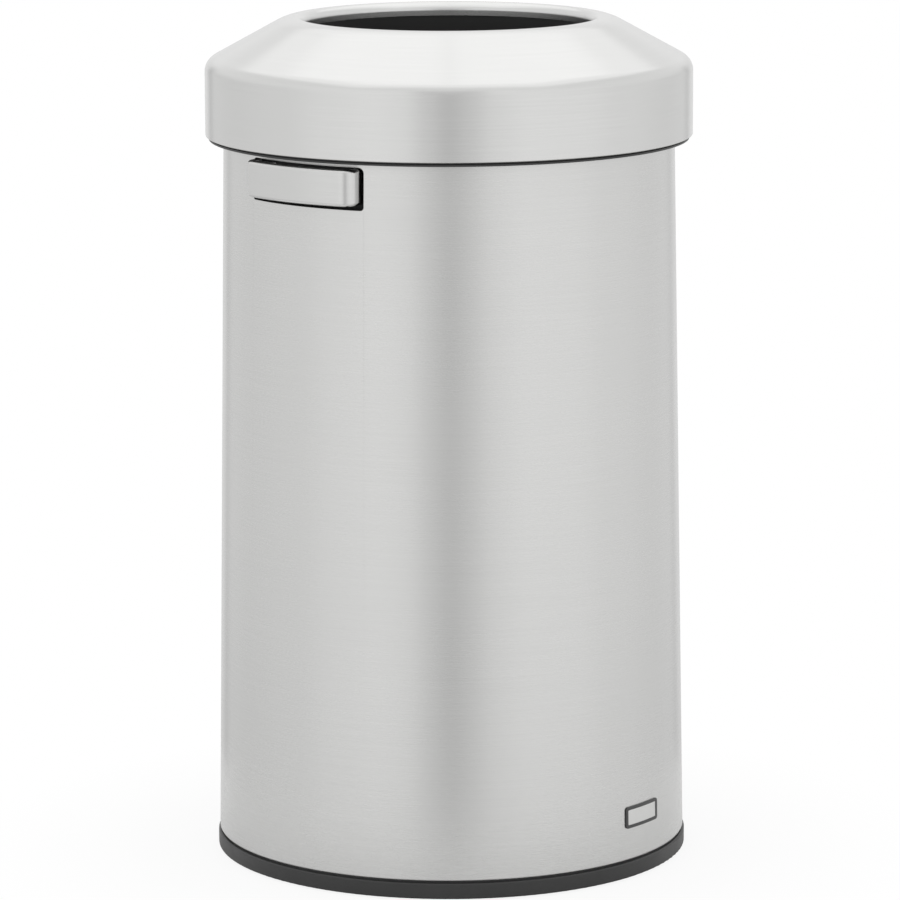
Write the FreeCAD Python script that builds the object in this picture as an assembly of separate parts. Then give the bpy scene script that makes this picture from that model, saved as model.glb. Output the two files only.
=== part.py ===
import FreeCAD, Part
import math
import os

# Round waste container: a tapered steel body on a moulded foot, and a hinged hood with an open mouth.
# Millimetres and degrees. The origin is the floor point on the body's axis, Z is up,
# the front faces -Y, the handles face -X and +X, and the hood's hinge is at the back, at +Y.

# Sheet and fits
sheet = 1.0                   # steel sheet of body, hood and floor pan
fit = 0.2                     # clearance between pieces pushed or laid together
hole_clearance = 0.15         # radial clearance of a fastener in its hole
thread_gap = 0.05             # radial clearance of a nut on its thread

# Foot ring
foot_ring_proud = 1.4         # outside of the foot ring beyond the body's bottom
foot_ring_width = 29.0        # outside to inside of the foot ring
foot_ring_top = 15.6          # floor to the ring's visible upper edge
foot_ring_edge = 1.5          # rounding of the ring's outer edges
shadow_gap = 1.6              # height of the groove between foot ring and body
shadow_depth = 2.0            # depth of that groove behind the body's face
foot_wall = 4.0               # outer wall and top web of the foot ring
foot_rib = 3.0                # inner wall of the foot ring
glide_count = 4
glide_first = 45.0            # angle of the first glide
glide_radius = 9.0
glide_thickness = 3.0
glide_show = 1.0              # what a glide stands out below the ring
glide_stem_radius = 4.0
glide_stem = 6.0
base_screw_count = 6
base_screw_sink = 5.0         # depth of the screw heads inside their bosses

# Body
body_foot_radius = 217.4      # outside of the body at its bottom
body_taper = 10.2             # outside of the body smaller by this at the hood's edge
body_bend = 2.0               # outside radius of the bottom bend
flange_margin = 5.2           # turned-in bottom flange beyond the base screws
pan_rim_inset = 2.6           # pan's rim inside the body's outer face
pan_drop = 11.0               # pan's floor below its rim
pan_bend = 4.0
bead_inset = 68.0             # stiffening bead in the pan, from the foot ring's inside
bead_width = 16.0
bead_height = 3.0

# Collar on the body's top edge
collar_wall = 3.0
collar_leg = 2.0
collar_outer_skirt = 2.0      # outer leg below the body's top edge
collar_inner_skirt = 10.0     # inner leg below the body's top edge
collar_lip = 9.0              # lip that narrows the collar's clear opening
collar_rivet_count = 6
collar_rivet_drop = 6.0       # rivets below the body's top edge
rivet_radius = 1.6
rivet_head_radius = 2.8
rivet_head = 1.4
bumper_angles = (47.0, 133.0, 227.0, 313.0)
bumper_radius = 4.5
bumper_height = 1.8
bumper_stem_radius = 1.8
bumper_stem = 5.0
cinch_angles = (34.0, 146.0, 214.0, 326.0)
cinch_half_angle = 4.5
cinch_thickness = 2.5
cinch_height = 26.0
cinch_slot = 4.0
cinch_eye_radius = 5.0
cinch_corner = 3.0

# Handles
opening_half_width = 65.0
opening_height = 38.2
opening_drop = 7.8            # opening's top below the hood's edge
opening_low_corner = 3.0
opening_high_corner = 5.0
handle_side_gap = 2.9         # opening's end beyond the handle's end
handle_top_gap = 0.8          # opening's top above the handle's top
handle_bottom_gap = 4.5       # opening's bottom below the handle's bottom
handle_reach = 15.0           # handle's face in front of the body
handle_sheet = 1.5
handle_corner = 14.0
handle_edge = 3.4             # rounding of the handle's long edges
handle_lip = 3.8              # depth of the turned-in edges
handle_depth = 39.1           # handle's face to the back of its tabs
handle_tab = 18.0             # length of the tabs, along the pocket's back
handle_screw_inset = 9.0      # handle screws from the tab's end
handle_screw_pitch = 15.0
handle_screw_radius = 2.0
pocket_margin = 4.0           # pocket's inside beyond the opening
pocket_wall = 2.5
pocket_flange = 9.0

# Badge
badge_angle = 3.3             # from the front towards +X
badge_width = 50.0
badge_height = 20.0
badge_bottom = 47.2
badge_thickness = 1.2
badge_corner = 3.0
badge_border = 3.0
badge_panel_sink = 0.4        # panel's face behind the plate's border
badge_panel_thickness = 0.5

# Hood
hood_edge_height = 668.8      # floor to the skirt's folded edge
skirt_height = 67.4           # folded edge to the shoulder's sharp corner
shoulder_radius = 15.0
cone_slope = 28.8
crest_radius = 40.0
lip_radius = 8.0
mouth_radius = 132.0
lip_wall = 4.5                # straight end of the rolled lip
hem_width = 2.8
ring_show = 3.7               # hood ring below the skirt's edge
ring_band = 2.2               # height of the ring's outer band
ring_groove = 1.6             # depth of the groove between the band and the skirt's edge
ring_wall = 3.2
ring_edge = 0.8
ring_rise = 34.0              # hood ring above the skirt's edge
shelf_thickness = 3.0
shelf_margin = 1.0            # shelf of the hood ring outside the collar's clear opening
chute_wall = 2.5
chute_tube = 32.0             # straight upper part of the chute
chute_bend = 12.0
chute_flange_margin = 1.2     # chute's flange inside the hood ring's wall
chute_foot_inset = 4.0        # chute's cone foot outside the shelf's clear opening
chute_screw_count = 6
chute_screw_gap = 0.65        # heads of the chute screws clear of collar and hood ring

# Hinge
hinge_half_width = 36.0
knuckle_count = 5
hinge_sheet = 1.5
hinge_drop = 1.0              # hinge axis below the skirt's edge
hinge_gap = 1.1               # knuckles clear of the body
knuckle_radius = 4.0
knuckle_slit = 0.4            # slit between neighbouring knuckles
pin_radius = 2.0
pin_overhang = 1.0
pin_press = 0.02              # radial gap of the pin in the fixed knuckles
pin_running = 0.06            # radial gap of the pin in the moving knuckles
leaf_edge = 3.0               # rivets from the body leaf's edges
leaf_clear = 0.8              # leaves clear of the other leaf's knuckles
leaf_rivet_gap = 0.4          # hinge rivets clear of the collar's inner leg
hinge_notch_margin = 8.0      # notch in the hood ring beyond the leaves
leaf_reach = 8.0              # hood leaf past its screws

# Screws and nuts
screw_radius = 2.0
screw_head_radius = 3.6
screw_head = 2.3
drive_width = 0.9
drive_depth = 1.1
drive_share = 0.6             # reach of the cross recess, as a share of the head's radius
nut_across = 7.0
nut_height = 3.2
stud_length = 9.0
screw_tip = 1.0               # base screws beyond their nuts

# Heights and radii that follow
body_bottom = foot_ring_top + shadow_gap
pan_rim = body_bottom + sheet
pan_floor = pan_rim - pan_drop
body_neck_radius = body_foot_radius - body_taper
foot_ring_radius = body_foot_radius + foot_ring_proud
foot_ring_inner = foot_ring_radius - foot_ring_width
foot_mid_radius = (foot_ring_inner + foot_rib + foot_ring_radius - foot_wall) / 2
boss_radius = (foot_ring_radius - foot_wall - foot_ring_inner - foot_rib) / 2 + foot_rib / 2
web_bottom = body_bottom - foot_wall
hinge_height = hood_edge_height - hinge_drop
leaf_slot = hinge_height + knuckle_radius + leaf_clear
hinge_rivet_height = leaf_slot + leaf_edge
body_top = hinge_rivet_height + rivet_head_radius + leaf_rivet_gap + collar_inner_skirt
collar_bottom = body_top + fit
collar_top = collar_bottom + collar_wall
shelf_bottom = collar_top + bumper_height + fit
shelf_top = shelf_bottom + shelf_thickness
opening_top = hood_edge_height - opening_drop
opening_bottom = opening_top - opening_height
handle_top = opening_top - handle_top_gap
handle_bottom = opening_bottom + handle_bottom_gap
handle_middle = (handle_top + handle_bottom) / 2
handle_half_width = opening_half_width - handle_side_gap

origin = FreeCAD.Vector(0, 0, 0)
up = FreeCAD.Vector(0, 0, 1)
across = FreeCAD.Vector(1, 0, 0)


def body_radius(z):
    """Outside radius of the tapered body at height z."""
    share = (z - body_bottom) / (hood_edge_height - body_bottom)
    return body_foot_radius + (body_neck_radius - body_foot_radius) * share


hinge_y = body_radius(hinge_height) + hinge_gap + knuckle_radius
handle_radius = body_radius(handle_middle) + handle_reach
tab_back = math.sqrt(handle_radius ** 2 - handle_half_width ** 2) - handle_depth + handle_corner
pocket_back = tab_back - fit
pocket_half_width = opening_half_width + pocket_margin
pocket_low = opening_bottom - pocket_margin
pocket_high = opening_top + pocket_margin
collar_outer_radius = body_radius(body_top - collar_outer_skirt) + fit + collar_leg
collar_inner_radius = body_radius(body_top) - sheet - fit - collar_leg
collar_clear_radius = collar_inner_radius - collar_lip
shelf_radius = collar_clear_radius + shelf_margin
chute_screw_lane = 2 * (screw_head_radius + chute_screw_gap)
ring_inner = collar_outer_radius + chute_screw_lane
ring_radius = ring_inner + ring_wall
hood_radius = ring_radius + fit + hem_width


def polar(radius, angle, z):
    """Point at a radius and an angle counted from +X."""
    turn = math.radians(angle)
    return FreeCAD.Vector(radius * math.cos(turn), radius * math.sin(turn), z)


def outward(angle):
    return polar(1, angle, 0)


def outline(corners, place):
    """Closed wire through corners (u, v) or (u, v, radius), each rounded by its radius."""
    ends = []
    edges = []
    count = len(corners)
    for i in range(count):
        corner = FreeCAD.Vector(corners[i][0], corners[i][1], 0)
        radius = corners[i][2] if len(corners[i]) == 3 else 0
        if not radius:
            ends.append((corner, corner))
            continue
        before = FreeCAD.Vector(corners[i - 1][0], corners[i - 1][1], 0) - corner
        after = FreeCAD.Vector(corners[(i + 1) % count][0], corners[(i + 1) % count][1], 0) - corner
        before.normalize()
        after.normalize()
        half = before.getAngle(after) / 2
        middle = before + after
        middle.normalize()
        first = corner + before * (radius / math.tan(half))
        last = corner + after * (radius / math.tan(half))
        nearest = corner + middle * (radius / math.sin(half) - radius)
        edges.append(Part.Arc(place(first), place(nearest), place(last)).toShape())
        ends.append((first, last))
    for i in range(count):
        start = ends[i][1]
        stop = ends[(i + 1) % count][0]
        if (stop - start).Length > 1e-6:
            edges.append(Part.makeLine(place(start), place(stop)))
    return Part.Wire(Part.__sortEdges__(edges))


def turned(corners):
    """Solid of revolution round the Z axis from corners (radius, z)."""
    wire = outline(corners, lambda p: FreeCAD.Vector(p.x, 0, p.y))
    return Part.Face(wire).revolve(origin, up, 360)


def side_prism(corners, x0, x1):
    """Prism along X from corners (y, z)."""
    wire = outline(corners, lambda p: FreeCAD.Vector(x0, p.x, p.y))
    return Part.Face(wire).extrude(FreeCAD.Vector(x1 - x0, 0, 0))


def rounded_box(half_width, low, high, low_corner, high_corner):
    """Corners of a rounded rectangle in (y, z)."""
    return [(-half_width, low, low_corner), (half_width, low, low_corner),
            (half_width, high, high_corner), (-half_width, high, high_corner)]


def block(x0, x1, y0, y1, z0, z1):
    return Part.makeBox(x1 - x0, y1 - y0, z1 - z0, FreeCAD.Vector(x0, y0, z0))


def pillar(radius, place, z0, z1):
    """Upright cylinder over the point place."""
    return Part.makeCylinder(radius, z1 - z0, FreeCAD.Vector(place.x, place.y, z0))


def spoke(radius, r0, r1, angle, z):
    """Level cylinder along a radius of the body."""
    return Part.makeCylinder(radius, r1 - r0, polar(r0, angle, z), outward(angle))


def body_core(offset, z0, z1):
    """Solid cone that follows the body, at an offset of its outside face."""
    return Part.makeCone(body_radius(z0) + offset, body_radius(z1) + offset, z1 - z0, FreeCAD.Vector(0, 0, z0))


def body_band(inner, outer, z0, z1):
    """Conical band between two offsets of the body's outside face."""
    return body_core(outer, z0, z1).cut(body_core(inner, z0, z1))


def wedge(corners, first, last):
    """Sector between two angles of a solid of revolution round the Z axis, from corners (radius, z)."""
    face = Part.Face(outline(corners, lambda p: FreeCAD.Vector(p.x, 0, p.y)))
    return turn(face.revolve(origin, up, last - first), first)


def turn(shape, angle):
    moved = shape.copy()
    moved.rotate(origin, up, angle)
    return moved


def around(count, first=0.0):
    return [first + 360.0 * i / count for i in range(count)]


def cut_all(shape, tools):
    return shape.cut(Part.makeCompound(tools))


def cross_drive(place, z, towards):
    """Cross recess in a screw head whose face is at height z; towards is 1 when the head faces up."""
    reach = screw_head_radius * drive_share
    low = min(z, z - towards * drive_depth)
    high = max(z, z - towards * drive_depth)
    long = block(place.x - reach, place.x + reach, place.y - drive_width / 2, place.y + drive_width / 2, low, high)
    wide = block(place.x - drive_width / 2, place.x + drive_width / 2, place.y - reach, place.y + reach, low, high)
    return long.fuse(wide)


def upright_screw(place, seat, tip):
    """Screw along Z: its head lies beyond seat, its shank runs from seat to tip."""
    towards = 1 if tip < seat else -1
    face = seat + towards * screw_head
    head = pillar(screw_head_radius, place, min(seat, face), max(seat, face))
    shank = pillar(screw_radius, place, min(seat, tip), max(seat, tip))
    return head.fuse(shank).cut(cross_drive(place, face, towards))


def nut():
    """Hexagon nut on the Z axis, standing on the plane z = 0."""
    points = [polar(nut_across / math.sqrt(3), a, 0) for a in around(6)]
    hexagon = Part.Face(Part.makePolygon(points + points[:1])).extrude(up * nut_height)
    return hexagon.cut(Part.makeCylinder(screw_radius + thread_gap, nut_height))


def rivet(angle, z, inner, outer):
    """Rivet along a radius, heads on the faces at radius inner and outer."""
    shank = spoke(rivet_radius, inner, outer, angle, z)
    tail = spoke(rivet_head_radius, inner - rivet_head, inner, angle, z)
    head = spoke(rivet_head_radius, outer, outer + rivet_head, angle, z)
    return shank.fuse([tail, head]).removeSplitter()


# Foot ring, floor pan and what holds them
def foot_places(count, first):
    return [polar(foot_mid_radius, a, 0) for a in around(count, first)]


base_screw_places = foot_places(base_screw_count, 0.0)
glide_places = foot_places(glide_count, glide_first)
base_screw_seat = glide_show + base_screw_sink + screw_head
glide_seat = glide_thickness


def make_base_ring():
    neck = body_foot_radius - shadow_depth
    ring = turned([(foot_ring_radius, glide_show, foot_ring_edge), (foot_ring_radius, foot_ring_top, foot_ring_edge),
                   (neck, foot_ring_top), (neck, body_bottom), (foot_ring_inner, body_bottom),
                   (foot_ring_inner, glide_show)])
    channel = turned([(foot_ring_radius - foot_wall, glide_show), (foot_ring_radius - foot_wall, web_bottom),
                      (foot_ring_inner + foot_rib, web_bottom), (foot_ring_inner + foot_rib, glide_show)])
    bosses = [pillar(boss_radius, p, glide_show, web_bottom) for p in glide_places]
    bosses += [pillar(boss_radius, p, glide_show, web_bottom) for p in base_screw_places]
    ring = ring.cut(channel.cut(Part.makeCompound(bosses)))
    holes = [pillar(screw_radius + hole_clearance, p, glide_show, body_bottom) for p in base_screw_places]
    holes += [pillar(screw_head_radius + fit, p, glide_show, base_screw_seat) for p in base_screw_places]
    holes += [pillar(glide_radius + fit, p, glide_show, glide_seat) for p in glide_places]
    holes += [pillar(glide_stem_radius + thread_gap, p, glide_show, glide_seat + glide_stem) for p in glide_places]
    return cut_all(ring, holes)


def make_floor_glides():
    return [pillar(glide_radius, p, 0, glide_seat).fuse(pillar(glide_stem_radius, p, glide_seat, glide_seat + glide_stem))
            for p in glide_places]


def make_floor_pan():
    """Pressed pan: flat rim on the body's flange, floor dropped inside the foot ring, one raised bead."""
    rim = body_foot_radius - pan_rim_inset
    wall = foot_ring_inner - fit * 2
    inside = wall - sheet
    bead_radius = foot_ring_inner - bead_inset
    bead_in = bead_radius - bead_width / 2
    bead_out = bead_radius + bead_width / 2
    bead_top = pan_floor + bead_height
    pan = turned([(0, pan_floor), (bead_in, pan_floor), (bead_in + bead_height, bead_top),
                  (bead_out - bead_height, bead_top), (bead_out, pan_floor),
                  (wall, pan_floor, pan_bend), (wall, pan_rim), (rim, pan_rim), (rim, pan_rim + sheet),
                  (inside, pan_rim + sheet, sheet / 2), (inside, pan_floor + sheet, pan_bend - sheet),
                  (bead_out + sheet / 2, pan_floor + sheet), (bead_out - bead_height + sheet / 2, bead_top + sheet),
                  (bead_in + bead_height - sheet / 2, bead_top + sheet), (bead_in - sheet / 2, pan_floor + sheet),
                  (0, pan_floor + sheet)])
    return cut_all(pan, [pillar(screw_radius + hole_clearance, p, pan_rim, pan_rim + sheet) for p in base_screw_places])


def make_base_screws():
    tip = pan_rim + sheet + nut_height + screw_tip
    return [upright_screw(p, base_screw_seat, tip) for p in base_screw_places]


def make_base_nuts():
    return [nut().translated(FreeCAD.Vector(p.x, p.y, pan_rim + sheet)) for p in base_screw_places]


# Body shell with its handle openings
def make_body_shell():
    flange = foot_mid_radius - flange_margin
    shell = turned([(body_radius(body_bottom), body_bottom, body_bend), (body_radius(body_top), body_top),
                    (body_radius(body_top) - sheet, body_top),
                    (body_radius(pan_rim) - sheet, pan_rim, body_bend - sheet),
                    (flange, pan_rim), (flange, body_bottom)])
    opening = rounded_box(opening_half_width, opening_bottom, opening_top, opening_low_corner, opening_high_corner)
    tools = both_sides([side_prism(opening, body_neck_radius / 2, handle_radius)])
    tools += [pillar(screw_radius + hole_clearance, p, body_bottom, pan_rim) for p in base_screw_places]
    tools += collar_rivet_holes()
    tools += hinge_rivet_holes()
    return cut_all(shell, tools)


# Collar, its rivets, the bag cinches and the bumpers
collar_rivet_height = body_top - collar_rivet_drop
collar_rivet_angles = around(collar_rivet_count)


def collar_rivet_holes():
    low = collar_inner_radius - collar_leg
    high = collar_outer_radius
    return [spoke(rivet_radius + hole_clearance, low, high, a, collar_rivet_height) for a in collar_rivet_angles]


def make_top_collar():
    outer_leg = collar_outer_radius - collar_leg
    inner_leg = collar_inner_radius + collar_leg
    low_out = body_top - collar_outer_skirt
    low_in = body_top - collar_inner_skirt
    collar = turned([(collar_outer_radius, low_out), (collar_outer_radius, collar_top, collar_leg / 2),
                     (collar_clear_radius, collar_top, collar_wall / 3), (collar_clear_radius, collar_bottom, collar_wall / 3),
                     (collar_inner_radius, collar_bottom), (collar_inner_radius, low_in), (inner_leg, low_in),
                     (inner_leg, collar_bottom), (outer_leg, collar_bottom), (outer_leg, low_out)])
    stems = [pillar(bumper_stem_radius + thread_gap, p, collar_bottom, collar_top) for p in bumper_places()]
    return cut_all(collar, collar_rivet_holes() + stems)


def make_collar_rivets():
    inner = collar_inner_radius - thread_gap
    outer = body_radius(collar_rivet_height) + thread_gap
    return [rivet(a, collar_rivet_height, inner, outer) for a in collar_rivet_angles]


def bumper_places():
    return [polar(collar_clear_radius + bumper_radius, a, 0) for a in bumper_angles]


def make_hood_bumpers():
    return [pillar(bumper_radius, p, collar_top, collar_top + bumper_height).fuse(
        pillar(bumper_stem_radius, p, collar_top - bumper_stem, collar_top)) for p in bumper_places()]


def make_bag_cinches():
    """Curved tabs with a keyhole, hung inside the collar's inner leg."""
    outer = collar_inner_radius - fit
    inner = outer - cinch_thickness
    high = collar_bottom - fit
    low = high - cinch_height
    band = turned([(inner, low), (outer, low), (outer, high), (inner, high)])
    half = outer * math.sin(math.radians(cinch_half_angle))
    eye = (low + high) / 2
    face = rounded_box(half, low, high, cinch_corner, cinch_corner)
    tab = band.common(side_prism(face, inner - cinch_thickness, outer + cinch_thickness))
    slot = block(0, outer + cinch_thickness, -cinch_slot / 2, cinch_slot / 2, low, eye)
    eye_hole = Part.makeCylinder(cinch_eye_radius, outer + cinch_thickness, FreeCAD.Vector(0, 0, eye), across)
    tab = tab.cut(slot.fuse(eye_hole))
    return [turn(tab, a) for a in cinch_angles]


# Handles: built on the +X side and turned to the other
def handle_form(inset, back):
    """Solid of the bridge handle, its whole outside moved in by inset; open end at x = back."""
    radius = handle_radius - inset
    half = handle_half_width - inset
    bend = handle_corner - inset
    edge = handle_edge - inset
    low = handle_bottom + inset
    high = handle_top - inset
    bend_x = math.sqrt((radius - bend) ** 2 - (half - bend) ** 2)
    grow = radius / (radius - bend)
    face_x = bend_x * grow
    face_y = (half - bend) * grow
    aim = math.atan2(half - bend, bend_x) / 2 + math.pi / 4
    mid_x = bend_x + bend * math.cos(aim)
    mid_y = half - bend + bend * math.sin(aim)
    at = lambda x, y: FreeCAD.Vector(x, y, low)
    edges = [Part.makeLine(at(back, half), at(back, -half)),
             Part.makeLine(at(back, -half), at(bend_x, -half)),
             Part.Arc(at(bend_x, -half), at(mid_x, -mid_y), at(face_x, -face_y)).toShape(),
             Part.Arc(at(face_x, -face_y), at(radius, 0), at(face_x, face_y)).toShape(),
             Part.Arc(at(face_x, face_y), at(mid_x, mid_y), at(bend_x, half)).toShape(),
             Part.makeLine(at(bend_x, half), at(back, half))]
    form = Part.Face(Part.Wire(edges)).extrude(up * (high - low))
    level = [e for e in form.Edges if e.BoundBox.ZLength < 1e-6 and e.BoundBox.XMax > back + 1e-3]
    return form.makeFillet(edge, level)


def handle_screw_places():
    """Places (y, z) of the screws in one handle's tabs."""
    y = handle_half_width - handle_tab + handle_screw_inset
    step = handle_screw_pitch / 2
    return [(side * y, handle_middle + lift) for side in (-1, 1) for lift in (-step, step)]


def handle_bores(radius, x0, x1):
    return [Part.makeCylinder(radius, x1 - x0, FreeCAD.Vector(x0, y, z), across) for y, z in handle_screw_places()]


def make_handle():
    tab_front = tab_back + handle_sheet
    strap = handle_form(0, tab_back).cut(handle_form(handle_sheet, tab_back - handle_sheet))
    hollow = Part.makeCylinder(handle_radius - handle_lip, handle_top - handle_bottom + handle_lip * 2,
                               FreeCAD.Vector(0, 0, handle_bottom - handle_lip))
    keep = handle_half_width - handle_lip
    strap = strap.cut(hollow.common(block(0, handle_radius, -keep, keep, handle_bottom - handle_lip, handle_top + handle_lip)))
    ends = handle_half_width - handle_sheet / 2
    low = handle_bottom + handle_edge
    high = handle_top - handle_edge
    tabs = [block(tab_back, tab_front, -ends, handle_tab - handle_half_width, low, high),
            block(tab_back, tab_front, handle_half_width - handle_tab, ends, low, high)]
    return cut_all(strap.fuse(tabs).removeSplitter(), handle_bores(handle_screw_radius + hole_clearance, tab_back, tab_front))


def pocket_stud_places():
    """Places (angle, z) of the studs of one pocket."""
    reach = pocket_half_width + pocket_wall + pocket_flange / 2
    angle = math.degrees(math.asin(reach / body_radius(handle_middle)))
    drop = pocket_wall + pocket_flange / 2
    return [(side * angle, z) for side in (-1, 1) for z in (pocket_low - drop, pocket_high + drop)]


def make_pocket():
    """Moulded tub behind the opening, with a flange against the inside of the body."""
    wall = pocket_half_width + pocket_wall
    brim = wall + pocket_flange
    low = pocket_low - pocket_wall
    high = pocket_high + pocket_wall
    back = pocket_back - pocket_wall
    depth = handle_radius
    skin = -(sheet + fit)
    tub = block(back, depth, -wall, wall, low, high)
    flange = body_band(skin - pocket_wall, skin, low - pocket_flange, high + pocket_flange)
    room = body_band(-body_neck_radius / 2, skin, low - pocket_flange, high + pocket_flange)
    reach = block(back, depth, -brim, brim, low - pocket_flange, high + pocket_flange)
    pocket = tub.common(room).fuse(flange.common(reach))
    cavity = block(pocket_back, depth, -pocket_half_width, pocket_half_width, pocket_low, pocket_high)
    holes = handle_bores(handle_screw_radius + hole_clearance, back, pocket_back)
    holes += [spoke(screw_radius + hole_clearance, back, depth, a, z) for a, z in pocket_stud_places()]
    return cut_all(pocket.cut(cavity).removeSplitter(), holes)


def make_handle_screws():
    head_x = pocket_back - pocket_wall - screw_head
    screws = []
    for y, z in handle_screw_places():
        head = Part.makeCylinder(screw_head_radius, screw_head, FreeCAD.Vector(head_x, y, z), across)
        shank = Part.makeCylinder(handle_screw_radius, tab_back + handle_sheet + nut_height - pocket_back + pocket_wall,
                                  FreeCAD.Vector(head_x + screw_head, y, z), across)
        screws.append(head.fuse(shank))
    return screws


def make_handle_nuts():
    nuts = []
    for y, z in handle_screw_places():
        piece = nut()
        piece.rotate(origin, FreeCAD.Vector(0, 1, 0), 90)
        nuts.append(piece.translated(FreeCAD.Vector(tab_back + handle_sheet, y, z)))
    return nuts


def make_pocket_studs():
    studs = []
    for angle, z in pocket_stud_places():
        weld = body_radius(z) - sheet - thread_gap
        studs.append(spoke(screw_radius, weld - stud_length, weld, angle, z))
    return studs


def make_pocket_nuts():
    nuts = []
    for angle, z in pocket_stud_places():
        piece = nut()
        piece.rotate(origin, FreeCAD.Vector(0, 1, 0), -90)
        seat = body_radius(z) - sheet - fit - pocket_wall - fit
        piece = piece.translated(FreeCAD.Vector(seat, 0, z))
        nuts.append(turn(piece, angle))
    return nuts


def both_sides(pieces):
    return pieces + [turn(p, 180) for p in pieces]


# Badge
def badge_plate_form(border, inner, outer):
    """Curved plate on the body, smaller by border all round, between two offsets of the body's face."""
    low = badge_bottom + border
    high = badge_bottom + badge_height - border
    half = math.degrees((badge_width / 2 - border) / body_radius(badge_bottom))
    corner = max(badge_corner - border, badge_corner / 3)
    plate = wedge([(body_radius(low) + inner, low), (body_radius(low) + outer, low),
                   (body_radius(high) + outer, high), (body_radius(high) + inner, high)],
                  badge_angle - 90 - half, badge_angle - 90 + half)
    upright_corners = [e for e in plate.Edges if e.Length < badge_thickness * 2]
    return plate.makeFillet(corner, upright_corners)


badge_back = thread_gap
badge_face = badge_back + badge_thickness
panel_face = badge_face - badge_panel_sink
panel_back = panel_face - badge_panel_thickness


def make_badge_plate():
    return badge_plate_form(0, badge_back, badge_face).cut(
        badge_plate_form(badge_border, panel_back - thread_gap, badge_face + badge_thickness))


def make_badge_panel():
    return badge_plate_form(badge_border + thread_gap, panel_back, panel_face)


# Hood
shoulder_height = hood_edge_height + skirt_height
crest_reach = mouth_radius + lip_radius
crest_corner = crest_reach + crest_radius * math.tan(math.radians(cone_slope / 2))
crest_height = shoulder_height + (hood_radius - crest_corner) * math.tan(math.radians(cone_slope))
lip_height = crest_height - lip_radius
lip_end = lip_height - lip_wall


def hood_path(inset):
    """Corners of the hood's outside moved in by inset, from above the hem to the corner of the lip."""
    slope = math.radians(cone_slope)
    shift = inset * math.tan(slope / 2)
    return [(hood_radius - inset, shoulder_height - inset / math.cos(slope) + inset * math.tan(slope), shoulder_radius - inset),
            (crest_corner - shift, crest_height - inset, crest_radius - inset),
            (mouth_radius + inset, crest_height - inset, lip_radius - inset)]


def make_hood_skin():
    outside = hood_path(0)
    inside = hood_path(sheet)
    hem = hood_radius - hem_width
    hem_top = hood_edge_height + sheet
    return turned([(hem, hood_edge_height), (hood_radius, hood_edge_height, sheet)] + outside
                  + [(mouth_radius, lip_end), (mouth_radius + sheet, lip_end)] + inside[::-1]
                  + [(hood_radius - sheet, hem_top), (hem, hem_top)])


def make_hood_frame():
    """Ring inside the skirt: it shows below the skirt, and its shelf rests on the bumpers."""
    low = hood_edge_height - ring_show
    step = hood_edge_height + sheet + fit
    outer = hood_radius - sheet - fit
    high = hood_edge_height + ring_rise
    upper = outer - ring_wall
    band = low + ring_band
    groove = ring_radius - ring_groove
    frame = turned([(ring_radius, low, ring_edge), (ring_radius, band, ring_edge), (groove, band), (groove, step),
                    (outer, step), (outer, high), (upper, high),
                    (upper, shelf_top), (shelf_radius, shelf_top), (shelf_radius, shelf_bottom),
                    (ring_inner, shelf_bottom), (ring_inner, low, ring_edge)])
    half_notch = math.degrees(math.asin((hinge_half_width + hinge_notch_margin) / hinge_y))
    notch = [(hinge_y, low - ring_edge), (hood_radius, low - ring_edge), (hood_radius, shelf_bottom), (hinge_y, shelf_bottom)]
    holes = [wedge(notch, 90 - half_notch, 90 + half_notch)]
    holes += [pillar(screw_radius + hole_clearance, p, shelf_bottom, shelf_top) for p in chute_screw_places]
    holes += [pillar(screw_radius + hole_clearance, p, shelf_bottom, shelf_top) for p in hinge_screw_places]
    return cut_all(frame, holes)


chute_inner = mouth_radius + sheet + fit
chute_seat = shelf_top + fit
chute_flange_top = chute_seat + chute_wall
chute_flange_radius = hood_radius - sheet - fit - ring_wall - chute_flange_margin
chute_screw_radius = collar_outer_radius + chute_screw_lane / 2
chute_screw_places = [polar(chute_screw_radius, a, 0) for a in around(chute_screw_count)]


def make_hood_chute():
    """Funnel from the mouth's lip down to the hood ring's shelf."""
    tube_low = lip_height - chute_tube
    foot = shelf_radius + chute_foot_inset
    chute = turned([(chute_inner, lip_height), (chute_inner, tube_low, chute_bend), (foot, chute_seat),
                    (chute_flange_radius, chute_seat), (chute_flange_radius, chute_flange_top),
                    (foot + chute_wall, chute_flange_top),
                    (chute_inner + chute_wall, tube_low + chute_wall / 2, chute_bend), (chute_inner + chute_wall, lip_height)])
    holes = [pillar(screw_radius + hole_clearance, p, chute_seat, chute_flange_top + chute_wall)
             for p in chute_screw_places + hinge_screw_places]
    return cut_all(chute, holes)


def make_chute_screws():
    return [upright_screw(p, shelf_bottom - thread_gap, chute_flange_top + chute_wall) for p in chute_screw_places]


# Hinge
knuckle_pitch = 2 * hinge_half_width / knuckle_count
leaf_plane = hinge_y + knuckle_radius
leaf_top = shelf_bottom - thread_gap
leaf_under = leaf_top - hinge_sheet
hinge_screw_y = collar_outer_radius
hinge_pitch = 2 * knuckle_pitch
hinge_screw_places = [FreeCAD.Vector(i * hinge_pitch, hinge_screw_y, 0) for i in (-1, 0, 1)]
body_leaf_top = hinge_rivet_height + leaf_edge
hinge_rivet_angles = [90.0 + i * math.degrees(hinge_pitch / body_neck_radius) for i in (-1, 0, 1)]


def hinge_rivet_holes():
    low = body_radius(hinge_rivet_height) - hinge_sheet * 2
    high = body_radius(hinge_rivet_height) + hinge_sheet * 2
    return [spoke(rivet_radius + hole_clearance, low, high, a, hinge_rivet_height) for a in hinge_rivet_angles]


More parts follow.
